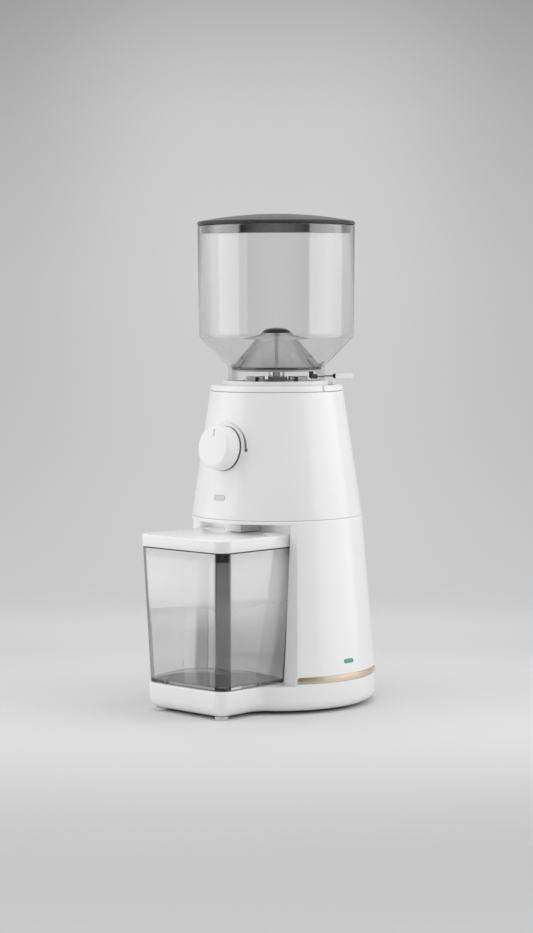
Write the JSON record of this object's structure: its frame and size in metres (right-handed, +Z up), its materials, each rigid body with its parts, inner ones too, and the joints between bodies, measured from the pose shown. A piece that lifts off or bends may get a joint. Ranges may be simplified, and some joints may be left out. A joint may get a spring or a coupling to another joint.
{
  "type": "burr coffee grinder",
  "caption": "Electric burr coffee grinder: conical housing on a round base, turned bean hopper with gate, front dial, and a pull-out container for the grounds on a square platform.",
  "frame": {"origin": "middle of the bounding box's bottom, on the surface that the feet stand on", "axes": "+Z up, the front with the dial and the container faces -Y, +X to the right of someone who looks at the front"},
  "size_m": [0.1668, 0.2004, 0.4142],
  "materials": {
    "white_shell": "satin",
    "dark_plastic": "matte",
    "foot_rubber": "matte",
    "screw_steel": "zinc",
    "champagne_metal": "brushed",
    "teal_lens": "gloss",
    "container_smoke": "gloss",
    "black_seal": "satin",
    "clear_smoke": "gloss",
    "lid_smoke": "gloss",
    "guard_smoke": "gloss",
    "gate_smoke": "satin",
    "black_metal": "satin",
    "carrier_white": "matte",
    "burr_steel": "ground",
    "bright_steel": "polished",
    "frame_plastic": "matte",
    "chute_white": "satin",
    "gear_nylon": "matte",
    "ferrite": "matte",
    "rotor_winding": "wound",
    "dial_white": "satin",
    "bezel_grey": "matte",
    "scale_print": "matte",
    "button_grey": "satin",
    "board_green": "satin"
  },
  "bodies": {
    "housing": {"base": "white_shell", "bottom_plate": "dark_plastic", "feet": "foot_rubber", "base_screws": "screw_steel", "lower_housing": "white_shell", "trim_band": "champagne_metal", "power_lens": "teal_lens", "cord_gland": "dark_plastic", "upper_housing": "white_shell", "top_rim": "white_shell", "rim_screws": "screw_steel", "body_screws": "screw_steel", "housing_screws": "screw_steel", "shaft_bearings": "bright_steel", "grinding_chamber": "frame_plastic", "chute": "chute_white", "chassis": "frame_plastic", "gear_cover": "frame_plastic", "gear_screws": "screw_steel", "idler_axle": "bright_steel", "motor_can": "bright_steel", "motor_end_cap": "dark_plastic", "motor_magnets": "ferrite", "motor_screws": "screw_steel", "dial_bezel": "bezel_grey", "dial_scale": "scale_print", "dial_encoder": "dark_plastic", "start_switch": "dark_plastic", "panel_board": "board_green", "panel_screws": "screw_steel", "control_board": "board_green", "board_screws": "screw_steel"},
    "grounds_container": {"container": "container_smoke", "container_lid": "white_shell", "container_seal": "black_seal"},
    "adjustment_collar": {"collar": "white_shell"},
    "upper_burr": {"burr_carrier": "carrier_white", "ring_burr": "burr_steel", "feed_throat": "burr_steel"},
    "bean_hopper": {"hopper": "clear_smoke", "bean_guard": "guard_smoke"},
    "hopper_cover": {"hopper_lid": "lid_smoke", "lid_plug": "black_seal"},
    "bean_gate": {"gate_plate": "gate_smoke", "gate_rod": "black_metal", "gate_tab": "white_shell"},
    "grinding_spindle": {"grinding_shaft": "bright_steel", "cone_burr": "burr_steel", "burr_nut": "bright_steel", "sweeper": "dark_plastic", "output_gear": "gear_nylon"},
    "idler": {"idler_gear": "gear_nylon"},
    "rotor": {"motor_rotor": "rotor_winding", "motor_pinion": "bright_steel", "motor_fan": "dark_plastic"},
    "dial": {"dial": "dial_white", "dial_spindle": "bright_steel"},
    "start_button": {"start_button": "button_grey"}
  },
  "joints": [
    {"name": "container_pull", "type": "slide", "parent": "housing", "child": "grounds_container", "axis": [0, -1, 0], "range_m": [0, 0.15]},
    {"name": "collar_turn", "type": "hinge", "parent": "housing", "child": "adjustment_collar", "pos_m": [0, 0.01685, 0.2703], "axis": [0, 0, 1], "range_deg": [-30, 30]},
    {"name": "upper_burr_lift", "type": "slide", "parent": "adjustment_collar", "child": "upper_burr", "axis": [0, 0, 1], "range_m": [-0.0004, 0.0004]},
    {"name": "hopper_lift", "type": "slide", "parent": "adjustment_collar", "child": "bean_hopper", "axis": [0, 0, 1], "range_m": [0, 0.08]},
    {"name": "hopper_cover_lift", "type": "slide", "parent": "bean_hopper", "child": "hopper_cover", "axis": [0, 0, 1], "range_m": [0, 0.06]},
    {"name": "gate_turn", "type": "hinge", "parent": "bean_hopper", "child": "bean_gate", "pos_m": [0, 0.01685, 0.277], "axis": [0, 0, 1], "range_deg": [0, 60]},
    {"name": "dial_turn", "type": "hinge", "parent": "housing", "child": "dial", "pos_m": [0, -0.04676, 0.2184], "axis": [0, -0.9889, 0.1484], "range_deg": [-90, 90]},
    {"name": "start_press", "type": "slide", "parent": "housing", "child": "start_button", "axis": [0, 0.9889, -0.1484], "range_m": [0, 0.0012], "stiffness_N_per_m": 900, "springref_m": -0.0008},
    {"name": "motor_spin", "type": "hinge", "parent": "housing", "child": "rotor", "pos_m": [0, 0.04685, 0.1598], "axis": [0, 0, 1], "continuous": true},
    {"name": "idler_spin", "type": "hinge", "parent": "housing", "child": "idler", "pos_m": [0.02592, 0.03385, 0.1598], "axis": [0, 0, 1], "continuous": true},
    {"name": "burr_spin", "type": "hinge", "parent": "housing", "child": "grinding_spindle", "pos_m": [0, 0.01685, 0.1598], "axis": [0, 0, 1], "continuous": true}
  ],
  "couplings": [
    {"joint": "upper_burr_lift", "follows": "collar_turn", "m_per_rad": 0.00063662},
    {"joint": "idler_spin", "follows": "motor_spin", "ratio": -0.20833},
    {"joint": "burr_spin", "follows": "motor_spin", "ratio": 0.060764}
  ]
}
